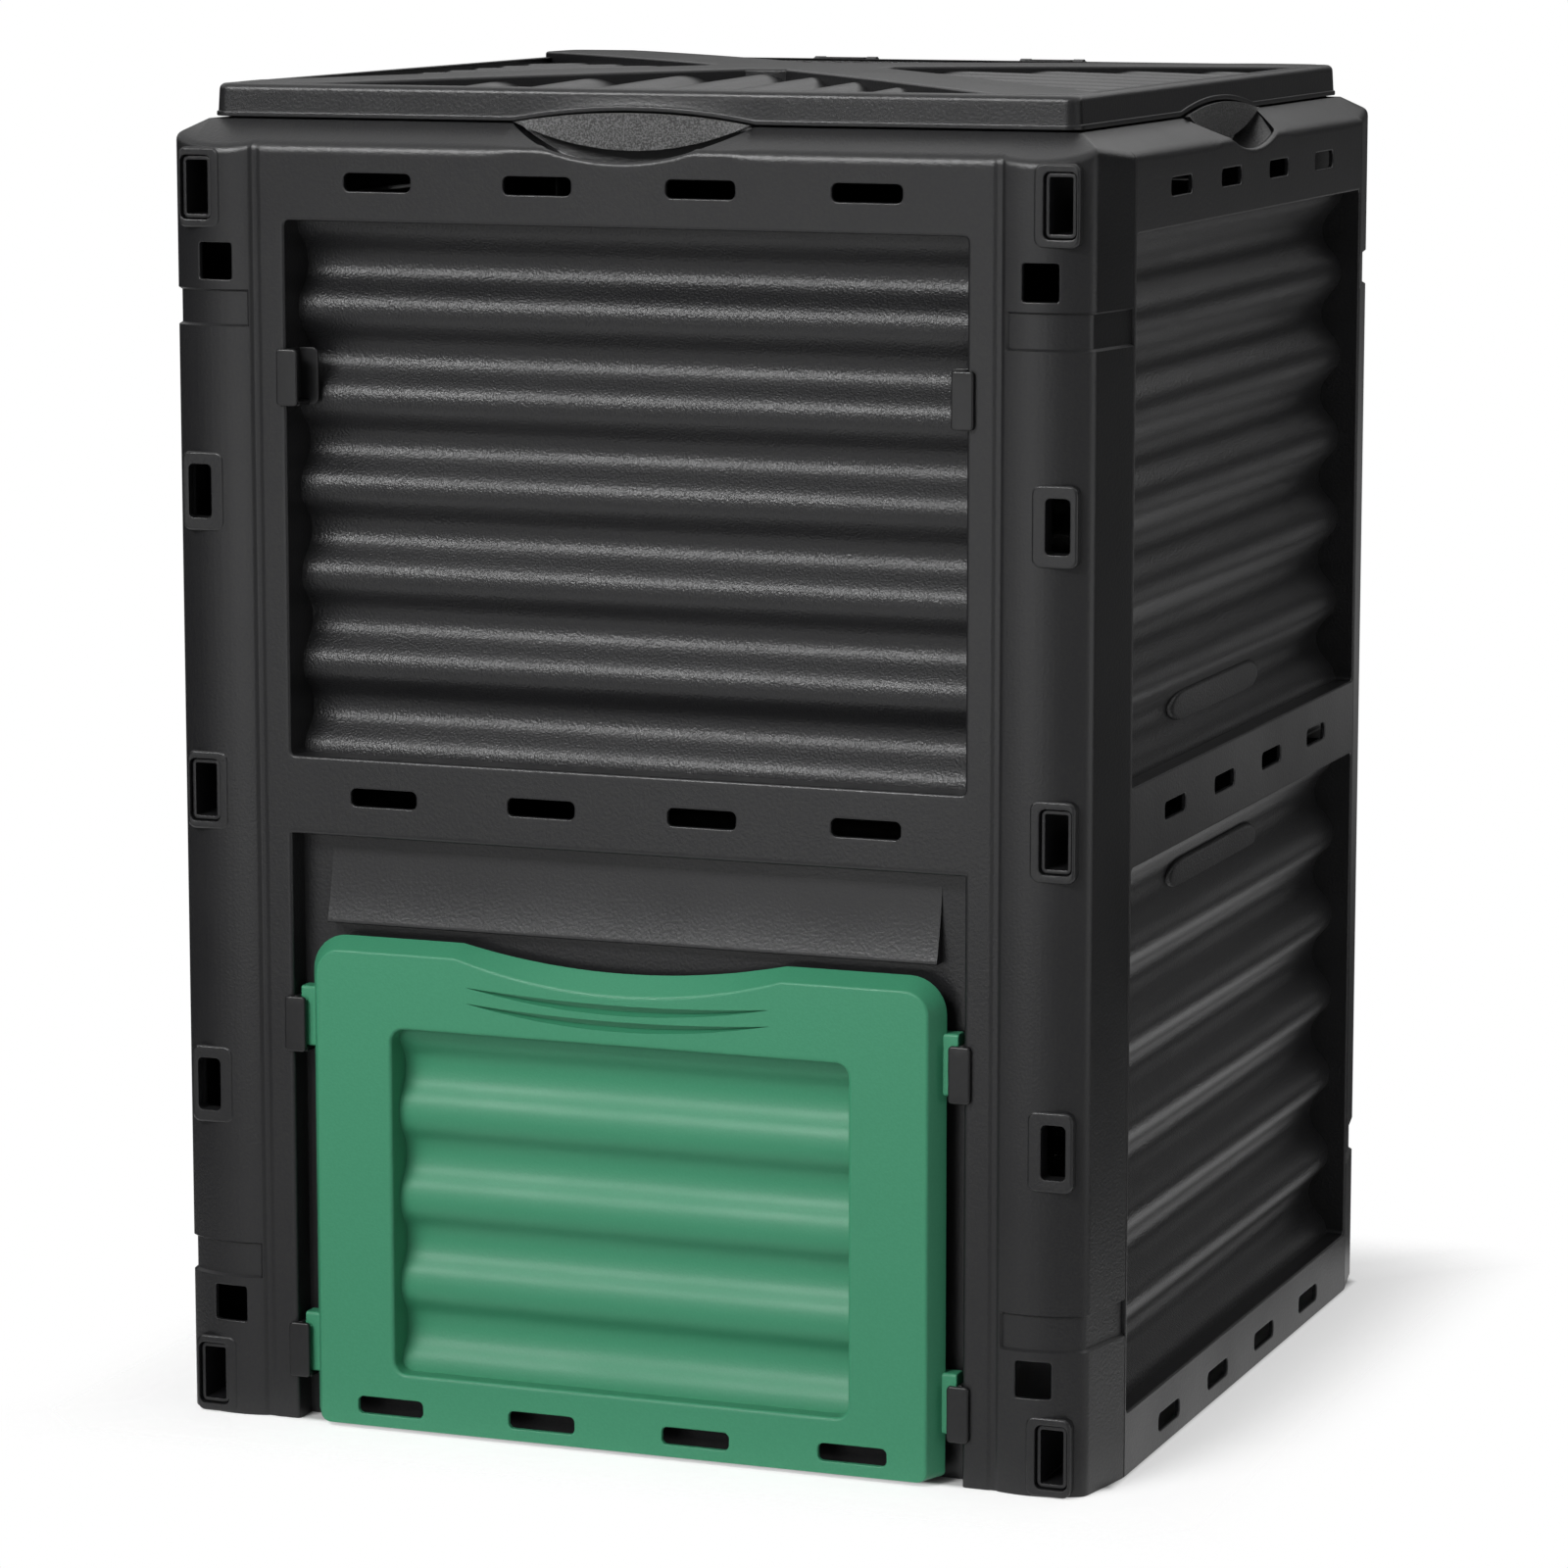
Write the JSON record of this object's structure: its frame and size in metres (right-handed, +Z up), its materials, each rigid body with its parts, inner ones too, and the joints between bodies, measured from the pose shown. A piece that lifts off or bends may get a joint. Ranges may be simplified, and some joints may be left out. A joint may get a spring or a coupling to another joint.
{
  "type": "compost bin",
  "caption": "Square black plastic garden compost bin with wavy wall panels, round corner columns, a hinged lid with crossing bands and a green lift-out harvest door.",
  "frame": {"origin": "on the ground under the middle of the bin", "axes": "+Z up, -Y towards the front wall with the door, +X to the right as seen from the front"},
  "size_m": [0.61, 0.6224, 0.8363],
  "materials": {
    "black_plastic": "grained, matt",
    "green_plastic": "grained, matt",
    "hook_plastic": "smooth, satin"
  },
  "bodies": {
    "shell": {"front_panel": "black_plastic", "back_panel": "black_plastic", "left_panel": "black_plastic", "right_panel": "black_plastic", "hinge_pin_left": "black_plastic", "hinge_pin_right": "black_plastic", "hook_lower_left_bottom": "hook_plastic", "hook_lower_left_top": "hook_plastic", "hook_lower_right_bottom": "hook_plastic", "hook_lower_right_top": "hook_plastic", "hook_upper_left": "hook_plastic", "hook_upper_right": "hook_plastic"},
    "lid": {"lid": "black_plastic"},
    "door": {"door": "green_plastic"}
  },
  "joints": [
    {"name": "lid_hinge", "type": "hinge", "parent": "shell", "child": "lid", "pos_m": [0, 0.291, 0.827], "axis": [-1, 0, 0], "range_deg": [0, 105]},
    {"name": "door_lift", "type": "slide", "parent": "shell", "child": "door", "axis": [0, 0, 1], "range_m": [0, 0.045]}
  ]
}
